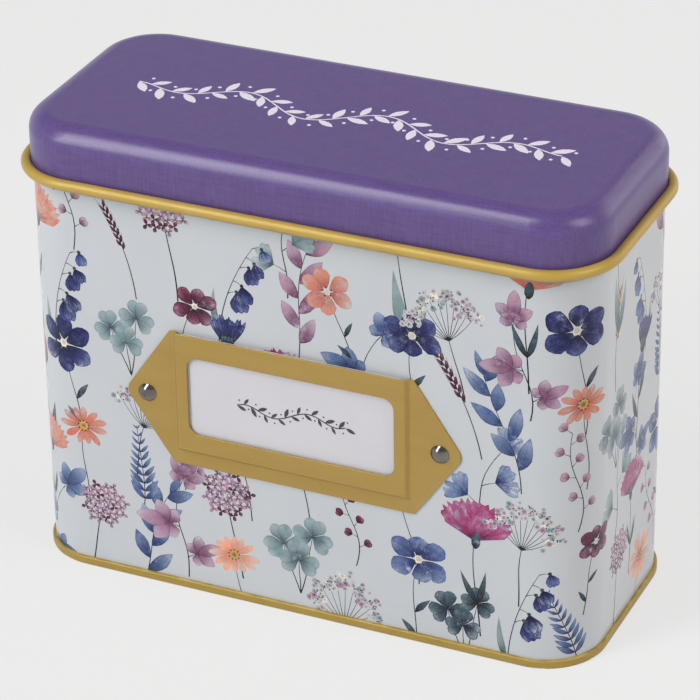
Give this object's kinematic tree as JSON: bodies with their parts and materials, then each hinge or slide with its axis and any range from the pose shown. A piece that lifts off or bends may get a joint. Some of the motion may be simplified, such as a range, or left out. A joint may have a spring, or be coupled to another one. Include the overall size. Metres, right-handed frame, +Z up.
{
  "type": "hinged card tin",
  "caption": "Upright tinplate box with a hinged drawn lid, rolled rim, riveted label holder with a sliding label, and index cards with tabbed dividers inside.",
  "frame": {"origin": "centre of the bounding box on the surface that the tin stands on", "axes": "+X along the width, to the right seen from the front; +Y towards the back, where the lid's hinge is; +Z up"},
  "size_m": [0.1456, 0.0656, 0.1143],
  "materials": {
    "printed_tinplate": "gloss varnish over print",
    "gold_lacquer": "gold lacquered tinplate",
    "lid_paint": "satin paint, gold lacquered inside and on the rolled rim",
    "hinge_wire_steel": "bright drawn wire",
    "hinge_strap_gold": "gold lacquered tinplate",
    "holder_gold": "satin gold lacquer",
    "rivet_nickel": "nickel plated",
    "label_paper": "matte card",
    "card_stock": "uncoated card",
    "divider_stock": "coated card"
  },
  "bodies": {
    "tin": {"body_wall": "printed_tinplate", "base_plate": "gold_lacquer", "hinge_strap_left": "hinge_strap_gold", "hinge_strap_right": "hinge_strap_gold", "label_holder": "holder_gold", "rivet_left": "rivet_nickel", "rivet_right": "rivet_nickel", "cards_1": "card_stock", "cards_2": "card_stock", "cards_3": "card_stock", "cards_4": "card_stock", "cards_5": "card_stock", "cards_6": "card_stock", "divider_1": "divider_stock", "divider_2": "divider_stock", "divider_3": "divider_stock", "divider_4": "divider_stock", "divider_5": "divider_stock", "divider_6": "divider_stock"},
    "lid": {"lid_shell": "lid_paint", "hinge_wire": "hinge_wire_steel"},
    "label": {"label_card": "label_paper"}
  },
  "joints": [
    {"name": "lid_hinge", "type": "hinge", "parent": "tin", "child": "lid", "pos_m": [0, 0.03152, 0.1012], "axis": [-1, 0, 0], "range_deg": [0, 110]},
    {"name": "label_slide", "type": "slide", "parent": "tin", "child": "label", "axis": [0, 0, 1], "range_m": [0, 0.028]}
  ]
}
